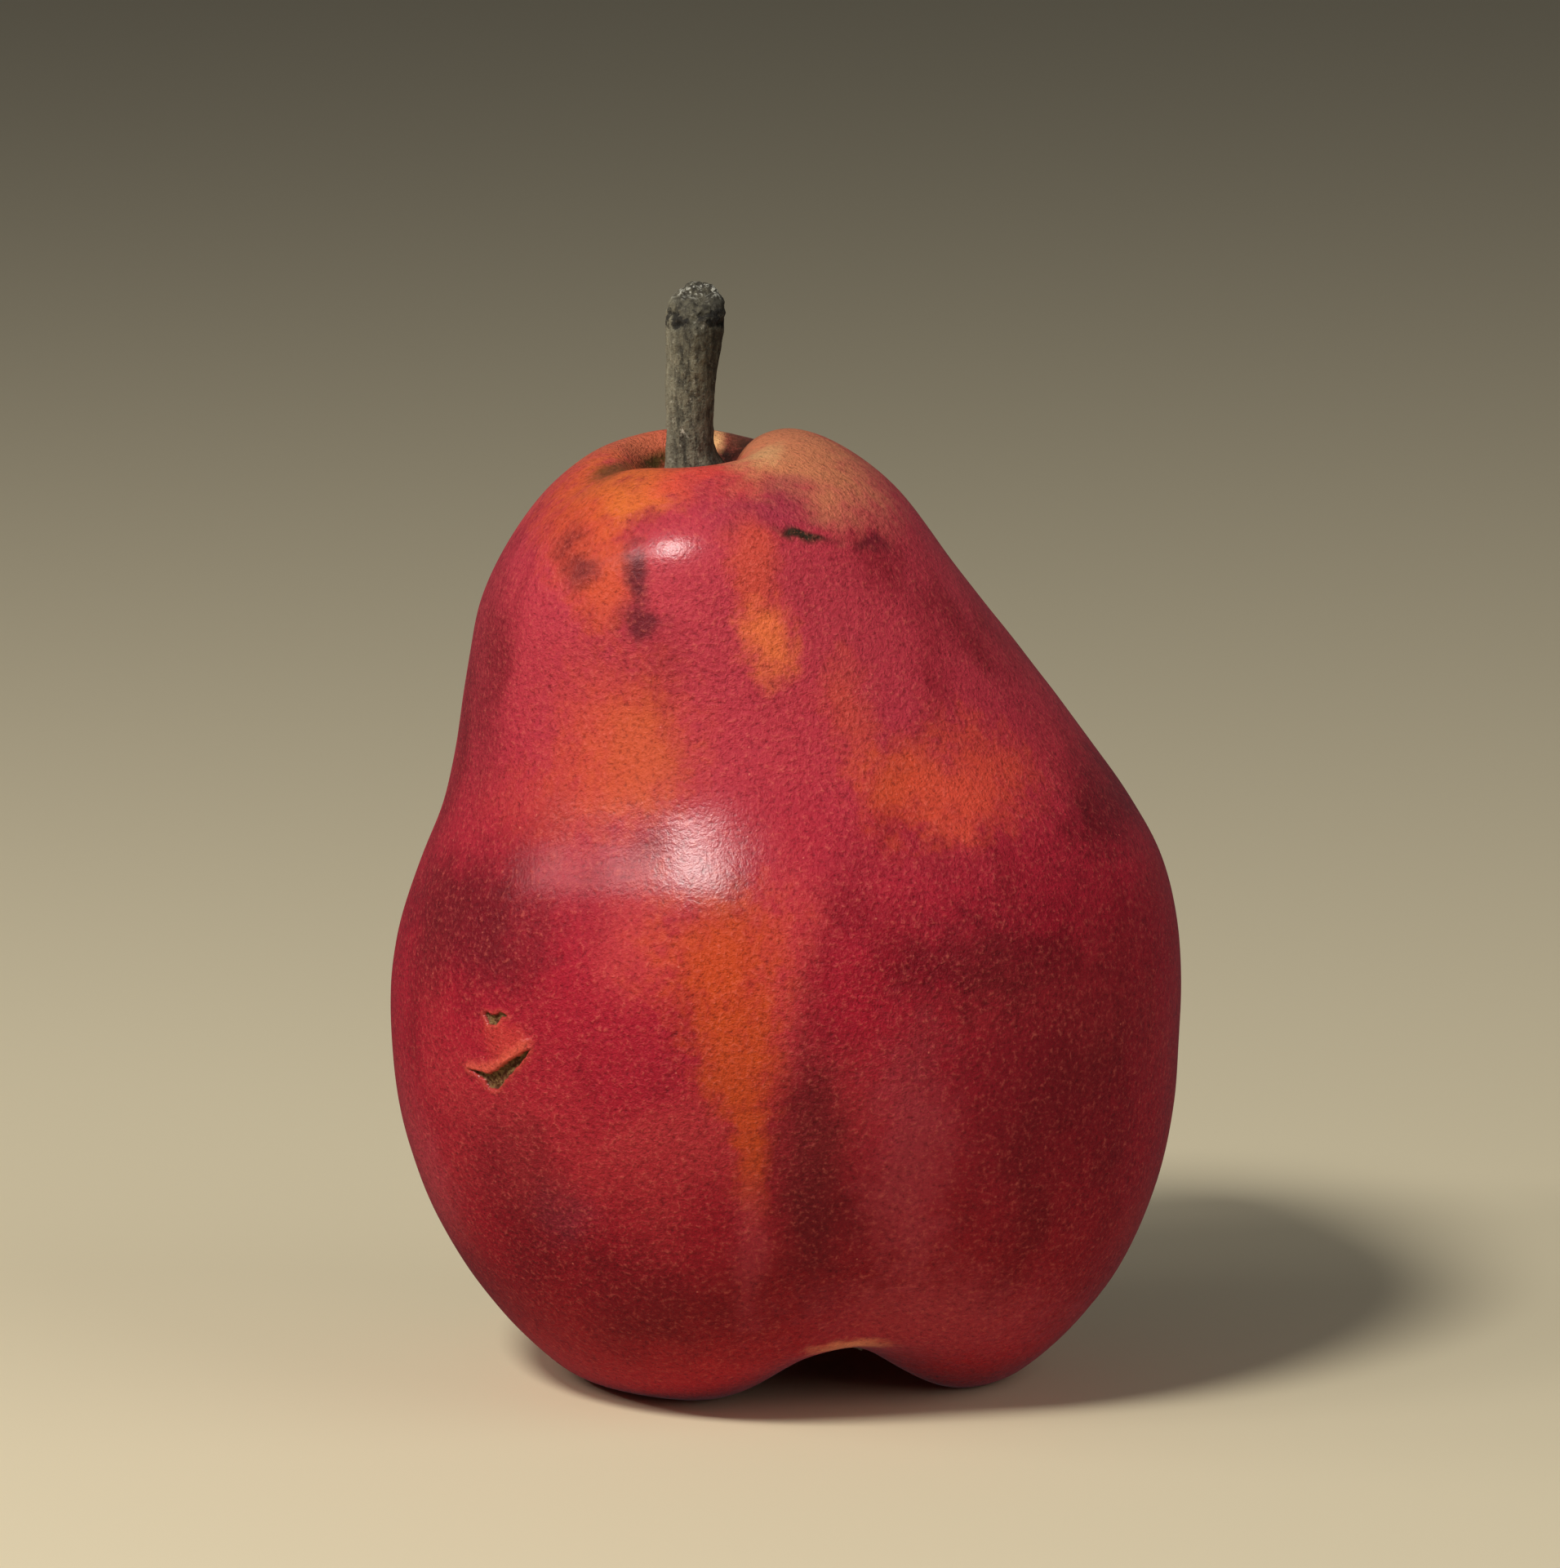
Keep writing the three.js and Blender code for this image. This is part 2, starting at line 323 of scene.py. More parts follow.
# Marks painted on the skin: the middle of each and half its width and height, in the photograph's
# pixels, its lean to the right in degrees, its colour, and how fully it covers what is below it.
PAINTED_MARKS = [
    # Painted shade: the body's dark right side and the shade in the furrow
    (1290, 1290, 200, 260, 0, MAROON, 0.45),
    (1010, 1480, 120, 200, 0, MAROON, 0.15),
    # Orange round the stem, down the neck and on its two sides
    (765, 606, 95, 42, -12, AMBER, 0.95),
    (866, 594, 72, 24, -4, LIT_CORAL, 0.8),
    (705, 650, 62, 62, 20, ORANGE, 0.65),
    (738, 715, 42, 66, 8, ORANGE, 0.75),
    (762, 915, 100, 120, 10, ORANGE, 0.55),
    (785, 930, 60, 80, 8, AMBER, 0.3),
    (690, 985, 110, 60, -12, ORANGE, 0.25),
    (925, 700, 38, 95, -14, ORANGE, 0.55),
    (934, 788, 36, 56, -6, LIT_ORANGE, 0.95),
    (1038, 862, 32, 76, -12, ORANGE, 0.4),
    (1150, 952, 116, 58, 14, ORANGE, 0.7),
    (1094, 968, 50, 56, 0, BURNT, 0.35),
    (1186, 958, 84, 60, 14, LIT_CORAL, 0.45),
    # The funnel-shaped streak that narrows down the front, between two paler bands
    (790, 1165, 70, 80, 0, CORAL, 0.5),
    (962, 1190, 50, 130, 4, CORAL, 0.5),
    (880, 1185, 92, 100, -4, BURNT, 0.85),
    (903, 1300, 54, 96, -5, BURNT, 0.85),
    (916, 1405, 27, 110, -3, BURNT, 0.8),
    (914, 1545, 24, 120, 0, ROSE, 0.4),
    # The russet shoulder, and mauve below it
    (1030, 596, 90, 50, 35, RUSSET, 0.85),
    (966, 556, 120, 50, 18, TAN, 1),
    (930, 624, 84, 34, 6, MAUVE, 0.6),
    # The darker sides and the soft patches low on the body. The maroon on the right shoulder, on the
    # right side and down the furrow's left wall is painted shade, and the rose on the furrow's right wall
    # is painted light.
    (596, 825, 40, 180, 4, MAROON, 0.36),
    (572, 1135, 124, 90, -18, MAROON, 0.62),
    # Painted shade on the right shoulder and the right side
    (1352, 985, 70, 70, 40, MAROON, 0.6),
    (1200, 1185, 140, 60, 8, MAROON, 0.5),
    # Painted shade down the furrow's left wall
    (996, 1420, 46, 225, 3, MAROON, 0.48),
    # Painted light on the furrow's right wall, which faces the light
    (1115, 1430, 62, 210, 0, ROSE, 0.55),
    (1150, 1620, 190, 90, 0, ROSE, 0.5),
    (520, 1430, 40, 150, -18, ROSE, 0.5),
    (687, 1485, 50, 56, 0, MAUVE, 0.4),
    (780, 1580, 110, 100, 0, MAROON, 0.3),
    (640, 1450, 80, 110, -20, MAROON, 0.4),
    # Bruises on the neck and the dark mark under the shoulder
    (706, 682, 25, 30, 0, BRUISE, 0.7),
    (777, 712, 18, 28, -12, BRUISE, 0.9),
    (787, 756, 34, 24, 0, BRUISE, 0.8),
    (983, 665, 40, 12, 14, GREEN_BLACK, 1),
    (1068, 679, 26, 9, 0, BRUISE, 0.7),
]

# Marks that stay on the surface they are drawn on: the cavity's back rim, its back wall beside the stem,
# the shoulder's edge in front of that, and the rim of the notch. The olive is painted shade in the trough
# left of the stem, the brown and dark brown are the stem's painted shadow on the back wall, the pale tan
# is tan skin made paler as painted light, and the notch's rim has painted light bounced off the floor.
RIM_MARKS = [
    (785, 550, 90, 26, -12, OLIVE_TAN, 0.95),
    # Painted shade in the trough left of the stem
    (800, 567, 52, 12, -10, OLIVE, 1),
    (768, 574, 34, 9, -14, OLIVE, 0.6),
    (748, 578, 30, 10, -16, OLIVE, 0.8),
    # Painted shadow of the stem on the back wall and at its foot
    (915, 538, 40, 32, 0, BROWN, 1),
    (890, 560, 20, 12, 0, DARK_BROWN, 1),
    # Tan skin made paler as painted light where the back wall is lit
    (877, 541, 12, 15, 0, PALE_TAN, 1),
    (918, 549, 26, 28, 0, TAN, 1),
    (944, 553, 58, 30, 0, TAN, 1),
    (935, 545, 36, 26, 0, TAN, 1),
    (942, 530, 30, 24, 0, TAN, 1),
    (960, 530, 44, 26, 0, TAN, 1),
    # Tan made paler as painted light where the shoulder's edge faces the light
    (934, 556, 30, 24, 0, PALE_TAN, 0.75),
    # Painted light bounced off the floor onto the notch's rim
    (1033, 1642, 62, 15, 0, NOTCH_BOUNCE_LIGHT, 1),
]

# Where the skin is dull: the same values without a colour
DULL_MARKS = [(708, 680, 78, 70, 0, 0.85), (640, 800, 60, 200, 0, 0.4)]

# How far back from the skin a mark of each kind reaches
MARK_DEPTH = 26 * MM
RIM_MARK_DEPTH = 5 * MM

# Shares of a mark's half width at which it starts and is full, and how much the mottle frays it
MARK_STARTS = 1.3
MARK_FULL = 0.2
MARK_FRAY = 1.3

# Sizes of what the skin's colours are mixed by
STREAK_SIZE = 9 * MM
BLOTCH_SIZE = 24 * MM
PATCH_SIZE = 17 * MM
DUSK_SIZE = 21 * MM
GRAIN_SIZE = 0.5 * MM
SPECKLE_SIZE = 1.6 * MM
PORE_SPACING = 1.7 * MM

# Shares of the spacing from a pore's middle at which it starts and is full
PORE_EDGE = (0.08, 0.03)

# Draws the streaks and patches out up and down
UPRIGHT = (1, 1, 0.45)

# How far marks wander from where they are drawn, and over what distance
WANDER = Vector((5, 5, 9)) * MM
WANDER_SIZE = 7 * MM

# The middle of the basin that the calyx hangs in, and how far its russet spreads
BASIN_MIDDLE = Vector((4, 0.94, 7)) * MM
BASIN_RUSSET = (11 * MM, 4 * MM)

SKIN_COAT = 0.35
SKIN_COAT_ROUGHNESS = 0.22
SKIN_SPECULAR = 0.14
SKIN_BUMP = 0.4 * MM


def mark_share(recipe, mark, depth, mottle, place, fruit_tree):
    """How fully a mark covers the skin at each place."""
    x, y, half_width, half_height, lean, strength = mark
    inputs = {
        "Vector": place,
        "Location": fruit_tree.ray_cast(CAMERA_PLACE, sight_line(x, y))[0],
        "Rotation": (0, math.radians(lean), 0),
        "Scale": (half_width / PIXELS_PER_METRE, depth, half_height / PIXELS_PER_METRE),
    }
    inside = recipe.add("ShaderNodeMapping", {"vector_type": "TEXTURE"}, inputs).outputs["Vector"]
    distance = recipe.vector_math("LENGTH", inside)["Value"]
    return recipe.ramp(recipe.math("ADD", distance, mottle), MARK_STARTS, MARK_FULL, 0, strength)


def with_mark(recipe, base, mark, depth, mottle, place, fruit_tree):
    """The colour so far with one mark laid over it."""
    *shape, tint, strength = mark
    share = mark_share(recipe, (*shape, strength), depth, mottle, place, fruit_tree)
    return recipe.mix(base, tint, share)


def wandering_place(recipe):
    """The place on the fruit, shifted a little here and there, so that no mark has a drawn edge."""
    inputs = {"Vector": recipe.place, "Scale": 1 / WANDER_SIZE, "Detail": 4}
    drift = recipe.add("ShaderNodeTexNoise", None, inputs).outputs["Color"]
    centred = recipe.vector_math("SUBTRACT", drift, (0.5, 0.5, 0.5))["Vector"]
    return recipe.vector_math("MULTIPLY_ADD", centred, WANDER, recipe.place)["Vector"]


def ground_colour(recipe, place, along):
    """Deep red low down that turns rosy up the neck, partly as painted shade and light, and bright by the
    ground as painted light bounced off the floor; streaked and blotched.
    """
    height = recipe.axes(place)["Z"]
    streaks = recipe.noise(STREAK_SIZE, 3, 0.55, along, 1)
    blotches = recipe.noise(BLOTCH_SIZE, 2, 0.5, place, 2)
    # Deeper red low down and rosier up the neck: partly the skin's own colour, partly painted shade below
    # and painted light above
    base = recipe.mix(colour(144, 6, 22), colour(164, 18, 42), recipe.ramp(height, 4 * MM, 40 * MM))
    base = recipe.mix(base, ROSE, recipe.ramp(height, 42 * MM, 80 * MM, 0, 0.8))
    base = recipe.mix(base, colour(112, 6, 20), recipe.ramp(streaks, 0.45, 0.72, 0, 0.6))
    # Painted light: brighter near the ground, as if lit by light bounced off the floor
    base = recipe.mix(base, colour(204, 34, 44), recipe.ramp(height, 14 * MM, 2 * MM, 0, 0.75))
    return recipe.mix(base, CORAL, recipe.ramp(blotches, 0.5, 0.75, 0, 0.35))


def colour_behind(recipe, base, place, along):
    """The colour so far, with orange, maroon and tan patches like the front's on the sides and back."""
    axes = recipe.axes(place)
    behind = recipe.ramp(axes["Y"], -6 * MM, 12 * MM)
    patches = recipe.noise(PATCH_SIZE, 2, 0.5, along, 7)
    dusk = recipe.noise(DUSK_SIZE, 2, 0.5, along, 12)
    layers = [
        (ORANGE, recipe.ramp(patches, 0.52, 0.7, 0, 0.75)),
        (OLIVE_TAN, recipe.ramp(axes["Z"], 80 * MM, 92 * MM, 0, 0.7)),
        (MAROON, recipe.ramp(dusk, 0.55, 0.75, 0, 0.7)),
    ]
    for tint, share in layers:
        base = recipe.mix(base, tint, recipe.math("MULTIPLY", share, behind))
    return base


def with_grain(recipe, base, grain):
    """The colour so far with pebbled grain, and pores as small pale dots where chance shows them."""
    base = recipe.mix(base, colour(78, 4, 14), recipe.ramp(grain, 0.5, 0.27, 0, 0.55))
    base = recipe.mix(base, colour(236, 116, 100), recipe.ramp(grain, 0.5, 0.76, 0, 0.36))
    inputs = {"Vector": recipe.place, "Scale": 1 / PORE_SPACING}
    cells = recipe.add("ShaderNodeTexVoronoi", None, inputs).outputs
    dots = recipe.ramp(cells["Distance"], *PORE_EDGE)
    shown = recipe.ramp(recipe.channels(cells["Color"])["Red"], 0.7, 0.95, 0, 0.6)
    return recipe.mix(base, colour(222, 120, 104), recipe.math("MULTIPLY", dots, shown))


def skin_material(fruit_tree):
    recipe = Recipe("skin")
    place = wandering_place(recipe)
    along = recipe.stretched(place, UPRIGHT)
    grain = recipe.noise(GRAIN_SIZE, 3, 0.7, None, 3)
    speckle = recipe.noise(SPECKLE_SIZE, 3, 0.6, None, 4)
    mottle = recipe.math("MULTIPLY", recipe.math("SUBTRACT", speckle, 0.5), MARK_FRAY)

    base = ground_colour(recipe, place, along)
    base = colour_behind(recipe, base, place, along)
    for mark in PAINTED_MARKS:
        base = with_mark(recipe, base, mark, MARK_DEPTH, mottle, place, fruit_tree)
    for mark in RIM_MARKS:
        base = with_mark(recipe, base, mark, RIM_MARK_DEPTH, mottle, recipe.place, fruit_tree)
    from_basin = recipe.vector_math("DISTANCE", place, BASIN_MIDDLE)["Value"]
    base = recipe.mix(base, colour(150, 78, 46), recipe.ramp(from_basin, *BASIN_RUSSET, 0, 0.7))

    # Sore skin round the cracks and their raised edges, the grain over it, and dry flesh inside them
    scars = recipe.add("ShaderNodeAttribute", {"attribute_name": "scars"}).outputs["Color"]
    scar_shares = recipe.channels(scars)
    opened = recipe.ramp(scar_shares["Red"], 0.2, 0.7)
    raised = recipe.math("MULTIPLY", scar_shares["Green"], 0.6)
    sore = recipe.math("MULTIPLY", scar_shares["Blue"], 0.5)
    flesh = recipe.mix(colour(82, 44, 26), colour(136, 106, 66), recipe.ramp(grain, 0.42, 0.66, 0, 0.9))
    base = recipe.mix(base, colour(206, 66, 52), sore)
    base = recipe.mix(base, colour(220, 98, 72), raised)
    base = with_grain(recipe, base, grain)
    base = recipe.mix(base, flesh, opened)

    coat = recipe.math("MULTIPLY", SKIN_COAT, recipe.math("SUBTRACT", 1, opened))
    for mark in DULL_MARKS:
        dull = mark_share(recipe, mark, MARK_DEPTH, mottle, place, fruit_tree)
        coat = recipe.math("MULTIPLY", coat, recipe.math("SUBTRACT", 1, dull))
    recipe.feed(recipe.shader.inputs["Coat Weight"], coat)
    recipe.shader.inputs["Coat Roughness"].default_value = SKIN_COAT_ROUGHNESS
    recipe.shader.inputs["Specular IOR Level"].default_value = SKIN_SPECULAR
    rough = recipe.ramp(speckle, 0.3, 0.7, 0.42, 0.56)
    height = recipe.math("ADD", grain, recipe.math("MULTIPLY", speckle, 0.6))
    return recipe.finish(base, rough, height, SKIN_BUMP)


# Two cracks low on the left, the raised flap above the lower one, and the sore skin between them.
# Each is a trail of the photograph's pixels with half its width there.
NICK = [(596, 1243, 3), (604, 1251, 5.5), (612, 1243, 3.5), (622, 1245, 0)]
CRACK = [
    (576, 1310, 0.5),
    (596, 1319, 5),
    (605, 1325, 10),
    (617, 1314, 7.5),
    (630, 1303, 6),
    (648, 1287, 1),
]
FLAP = [(577, 1306, 1), (598, 1311, 4), (613, 1306, 5), (629, 1293, 4), (644, 1281, 2)]
SORE = [(606, 1262, 10), (622, 1280, 22)]
SCAR_MIDDLE = (610, 1288)
SCAR_REACH = 5.5 * MM
SCAR_CUTS = 8
CRACK_DEPTH = 0.4 * MM
FLAP_RISE = 0.26 * MM
SORE_RISE = 0.1 * MM
LIP_RISE = 0.05 * MM

# The noise that frays the trails: its width, and how many pixels it shifts an outline
FRAYING = [(0.45 * MM, 3), (0.2 * MM, 2.4)]

# The pixels from a trail's outline between which each fades in, from outside to inside
CRACK_FADE = (-1.5, 2.5)
FLAP_FADE = (-13, 4)
SORE_FADE = (-18, 10)
LIP_FADE = (-7, -2)


def inside_trail(trail, x, y):
    """How far inside a trail's outline a pixel is, in pixels. Outside it is negative."""
    best = -PHOTO_WIDTH
    for (ax, ay, a_half), (bx, by, b_half) in zip(trail, trail[1:]):
        run = (x - ax) * (bx - ax) + (y - ay) * (by - ay)
        share = min(max(run / ((bx - ax) ** 2 + (by - ay) ** 2), 0), 1)
        gap = math.hypot(x - ax - share * (bx - ax), y - ay - share * (by - ay))
        best = max(best, a_half + share * (b_half - a_half) - gap)
    return best


def carve_scars(skin, fruit_tree):
    """Opens the two cracks, lifts their edges, and notes in an attribute where each colour goes."""
    middle = fruit_tree.ray_cast(CAMERA_PLACE, sight_line(*SCAR_MIDDLE))[0]
    split_faces_near(skin, middle, SCAR_REACH, SCAR_CUTS)
    scars = skin.data.attributes.new("scars", "FLOAT_COLOR", "POINT")
    scars.data.foreach_set("color", np.tile((0, 0, 0, 1), len(skin.data.vertices)))
    near = [vertex for vertex in skin.data.vertices if (vertex.co - middle).length < SCAR_REACH]
    normals = [vertex.normal.copy() for vertex in near]
    for vertex, normal in zip(near, normals):
        x, y = photo_pixel(vertex.co)
        ragged = layered_noise(vertex.co, FRAYING)
        cut = max(inside_trail(NICK, x, y), inside_trail(CRACK, x, y)) + 0.5 * ragged
        opened = smoothstep(cut, *CRACK_FADE)
        flap = smoothstep(inside_trail(FLAP, x, y) + ragged, *FLAP_FADE)
        sore = smoothstep(inside_trail(SORE, x, y) + 2 * ragged, *SORE_FADE)
        lip = smoothstep(cut, *LIP_FADE) * (1 - opened)
        rise = FLAP_RISE * flap + SORE_RISE * sore + LIP_RISE * lip
        vertex.co += normal * (rise * (1 - opened) - CRACK_DEPTH * opened)
        scars.data[vertex.index].color = (opened, max(flap, 0.4 * lip), sore, 1)


# The sockets: the node in each, the height of its mouth, and how far its axis lies from the middle
# of the node's box
SOCKETS = [
    ("stem", 86.2 * MM, Vector((-0.2, 0)) * MM),
    ("calyx", 7.6 * MM, Vector((-0.05, -0.7)) * MM),
]

# How far a socket's rim is drawn in, and between which distances from it that dies away: up and down
# from the mouth, and out from the axis
RIM_PULL = 0.5 * MM
RIM_HEIGHTS = (1 * MM, 3 * MM)
RIM_RADII = (3.4 * MM, 5.5 * MM)


def close_round(skin, node, mouth, shift):
    """Draws the rim of a socket in until it meets what grows out of it."""
    low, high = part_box(node)
    axis = (low + high).xy / 2 + shift
    for vertex in skin.data.vertices:
        out = vertex.co.xy - axis
        near = 1 - smoothstep(abs(vertex.co.z - mouth), *RIM_HEIGHTS)
        near *= 1 - smoothstep(out.length, *RIM_RADII)
        vertex.co.xy -= out.normalized() * RIM_PULL * near


# Where the skin stands out from the solid or lies below it: the middle, how far it reaches each way
# and how high it rises, in millimetres. They are the cavity's back rim, the edge of the shoulder beside
# it and the rim of the notch.
SWELLINGS = [
    ((-5.5, 12, 92), (4.5, 5, 4), -0.9),
    ((-2.6, 0.5, 92.5), (2.6, 4.5, 3), 0.5),
    ((6, -21, 8), (8, 6, 3.5), 1.2),
]

# The skin's slow swells and shallow dimples: how wide and how high they are
SWELL = (16 * MM, 0.22 * MM)
DIMPLE = (5 * MM, 0.05 * MM)

# The soft crease across the front at the waist, in the photograph's pixels, and its depth
WAIST_ROW = 1037
WAIST_HALF_HEIGHT = 40
WAIST_LEFT_END = (560, 660)
WAIST_RIGHT_END = (900, 990)
WAIST_DEPTH = 0.13 * MM


def skin_relief(place, _normal):
    """Slow swells, shallow dimples and a soft crease at the waist. The flat spots stay flat."""
    relief = noise.noise(place / SWELL[0]) * SWELL[1]
    relief += noise.noise(place / DIMPLE[0] + Vector((7, 3, 1))) * DIMPLE[1]
    for middle, reach, height in SWELLINGS:
        aside = [(place[i] / MM - middle[i]) / reach[i] for i in range(3)]
        relief += height * MM * math.exp(-sum(share**2 for share in aside))
    x, y = photo_pixel(place)
    in_front = smoothstep(-place.y, 0, 10 * MM)
    between = smoothstep(x, *WAIST_LEFT_END) * (1 - smoothstep(x, *WAIST_RIGHT_END))
    crease = WAIST_DEPTH * ridge(y, WAIST_ROW, WAIST_HALF_HEIGHT) * in_front * between
    off_ground = smoothstep(place.z, 0.1 * MM, 1.5 * MM)
    return relief * off_ground - crease


def make_skin():
    skin = copy_of_node("fruit", "pear_skin")
    fruit_tree = BVHTree.FromPolygons(
        [vertex.co for vertex in skin.data.vertices], [face.vertices for face in skin.data.polygons]
    )
    subdivide(skin, 2)
    for node, mouth, shift in SOCKETS:
        close_round(skin, node, mouth, shift)
    push_along_normals(skin, skin_relief)
    carve_scars(skin, fruit_tree)
    shade_smooth(skin)
    skin.data.materials.append(skin_material(fruit_tree))
    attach(skin, "root")
    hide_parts("fruit")


# Stem

STEM_LOW, STEM_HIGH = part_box("stem")

# Shares of the stem's height: where its knobbly end starts and is full, the crease below that and its
# half width, and the foot that spreads and its half height
STEM_END = (0.82, 0.9)
STEM_CREASE = (0.865, 0.016)
STEM_FOOT = (0.26, 0.07)
CREASE_DEPTH = 0.34 * MM
FOOT_RISE = 1.5 * MM

# The fibres of the bark, its other bumps and those of the knobbly end, as width and height
FIBRE_WIDTH = 0.8 * MM
FIBRE_LENGTH = 3 * MM
FIBRE_RISE = 0.13 * MM
BARK_BUMPS = [(0.75 * MM, 0.1 * MM), (0.4 * MM, 0.05 * MM)]
END_BUMPS = [(1.1 * MM, 0.26 * MM), (0.5 * MM, 0.16 * MM)]


def stem_relief(place, normal):
    """Grainy bark, a knobbly broken end with a crease below it, and a foot that spreads to the right."""
    rise = (place.z - STEM_LOW.z) / (STEM_HIGH.z - STEM_LOW.z)
    along = Vector((place.x / FIBRE_WIDTH, place.y / FIBRE_WIDTH, place.z / FIBRE_LENGTH))
    bark = noise.noise(along) * FIBRE_RISE + layered_noise(place, BARK_BUMPS)
    knobs = layered_noise(place, END_BUMPS)
    end = smoothstep(rise, *STEM_END)
    crease_at, crease_reach = STEM_CREASE
    wave = 0.035 * noise.noise(place / (1.4 * MM) + Vector((3, 1, 7)))
    broken = max(0.45 + 1.3 * noise.noise(place / (0.8 * MM) + Vector((5, 2, 9))), 0)
    crease = CREASE_DEPTH * ridge(rise, crease_at + wave, crease_reach) * broken
    foot = FOOT_RISE * ridge(rise, *STEM_FOOT) * max(normal.x, 0) ** 1.5
    return bark * (1 - 0.4 * end) + knobs * end - crease + foot


def bark_material():
    """Grey-olive fibres and grit, with painted light on the left and painted shade on the right, and a
    dark ring at the end.
    """
    recipe = Recipe("bark")
    fibres = recipe.noise(0.6 * MM, 4, 0.65, recipe.stretched(recipe.place, (1, 1, 0.3)), 1)
    grit = recipe.noise(0.35 * MM, 3, 0.6, None, 5)
    spots = recipe.noise(0.9 * MM, 3, 0.6, None, 2)
    axes = recipe.axes(recipe.place)
    axis = (STEM_LOW.x + STEM_HIGH.x) / 2
    below_end = recipe.math("SUBTRACT", STEM_HIGH.z, axes["Z"])
    from_ring = recipe.math("ABSOLUTE", recipe.math("SUBTRACT", below_end, 3.5 * MM))
    ring_frays = recipe.math("MULTIPLY", recipe.math("SUBTRACT", spots, 0.5), 6 * MM)
    at_end = recipe.ramp(below_end, 2 * MM, 0.8 * MM, 0, 0.6)
    layers = [
        (colour(114, 109, 90), recipe.ramp(fibres, 0.36, 0.66)),
        (colour(34, 28, 22), recipe.ramp(grit, 0.46, 0.32, 0, 0.7)),
        (colour(172, 166, 146), recipe.ramp(grit, 0.58, 0.74, 0, 0.5)),
        (colour(190, 184, 164), recipe.ramp(spots, 0.63, 0.74, 0, 0.7)),
        (colour(44, 40, 34), recipe.ramp(below_end, 8 * MM, 3 * MM, 0, 0.5)),
        # Painted light down the stem's left side and painted shade down its right side
        (colour(160, 154, 130), recipe.ramp(axes["X"], axis - 1.3 * MM, axis - 2.6 * MM, 0, 0.35)),
        (colour(38, 36, 30), recipe.ramp(axes["X"], axis + 0.3 * MM, axis + 2.4 * MM, 0, 0.6)),
        (colour(14, 11, 9), recipe.ramp(recipe.math("ADD", from_ring, ring_frays), 0.7 * MM, 0, 0, 0.85)),
        (colour(200, 198, 184), recipe.math("MULTIPLY", recipe.ramp(grit, 0.5, 0.62), at_end)),
    ]
    base = colour(50, 47, 38)
    for tint, share in layers:
        base = recipe.mix(base, tint, share)
    recipe.shader.inputs["Specular IOR Level"].default_value = 0.3
    return recipe.finish(base, 0.8, recipe.math("ADD", fibres, grit), 0.22 * MM)


def make_stem():
    stem = copy_of_node("stem", "stem_bark")
    subdivide(stem, 3)
    push_along_normals(stem, stem_relief)
    shade_smooth(stem)
    stem.data.materials.append(bark_material())
    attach(stem, "root")
    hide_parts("stem")


# Calyx

CALYX_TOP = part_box("calyx")[1].z
CALYX_AXIS = Vector((4, 0.94, 0)) * MM
CUP_RADIUS = 3.25 * MM
CUP_LIP = 6.1 * MM

# A face whose normal has less height than this is the cup's underside
FACES_DOWN = -0.9

# Steps in from the cup's rim, as how far in and how far up: its lip, its inner wall and its floor
CUP_STEPS = [(0.8 * MM, 0), (0.4 * MM, 1.4 * MM), (0.9 * MM, 0.4 * MM)]

# The five sepals: how long and how wide each is, in millimetres, and how far it curls out, in radians
SEPALS = [(5.2, 3.3, 1.0), (4.7, 3.0, 1.25), (5.4, 3.2, 0.85), (4.4, 3.1, 1.15), (5.0, 3.4, 0.95)]
SEPAL_FOOT_RADIUS = 2.6 * MM
SEPAL_THICKNESS = 0.32 * MM

STAMENS = 10
STAMEN_CIRCLE = 1.15 * MM
CALYX_SEED = 7
WRINKLES = [(0.7 * MM, 0.08 * MM), (0.3 * MM, 0.04 * MM)]


def make_cup():
    """A short cup, open below, with a thick lip."""
    height = CALYX_TOP - CUP_LIP
    middle = CALYX_AXIS + Vector((0, 0, CUP_LIP + height / 2))
    bpy.ops.object.select_all(action="DESELECT")
    bpy.ops.mesh.primitive_cylinder_add(vertices=48, radius=CUP_RADIUS, depth=height, location=middle)
    cup = bpy.context.object
    apply_transform(cup)
    for face in cup.data.polygons:
        face.select = face.normal.z < FACES_DOWN
    bpy.ops.object.mode_set(mode="EDIT")
    bpy.ops.mesh.select_mode(type="FACE")
    for inwards, upwards in CUP_STEPS:
        bpy.ops.mesh.inset(thickness=inwards, depth=-upwards)
    bpy.ops.object.mode_set(mode="OBJECT")
    subdivide(cup, 2)
    return cup


def make_sepal(length, width, curl, bearing):
    """A dried blade that leaves the cup's lip downwards, curls out, and is crumpled at its edges."""
    bpy.ops.object.select_all(action="DESELECT")
    bpy.ops.mesh.primitive_grid_add(x_subdivisions=12, y_subdivisions=22, size=1)
    sepal = bpy.context.object
    turn = Matrix.Rotation(bearing, 3, "Z")
    for vertex in sepal.data.vertices:
        along = vertex.co.y + 0.5
        side = 2 * vertex.co.x
        ragged = 1 + 0.25 * noise.noise(Vector((along * 7, bearing * 3, side)))
        taper = max((0.62 + 1.35 * along) * (1 - along) ** 0.8, 0.05) * ragged
        crumple = 0.22 * MM * noise.noise(Vector((along * 4, side * 2, bearing)))
        fold = 0.35 * MM * abs(side) ** 2 * taper + crumple
        lean = 0.3 + curl * along / 2
        reach = length * along * MM
        out = SEPAL_FOOT_RADIUS + reach * math.sin(lean) - fold
        aside = width / 2 * taper * side * MM
        height = CUP_LIP + 0.7 * MM - reach * math.cos(lean) - 0.3 * fold
        vertex.co = turn @ Vector((out, aside, height)) + CALYX_AXIS
    shell = sepal.modifiers.new("shell", "SOLIDIFY")
    shell.thickness = SEPAL_THICKNESS
    shell.offset = 0
    select_only(sepal)
    bpy.ops.object.modifier_apply(modifier=shell.name)
    return sepal


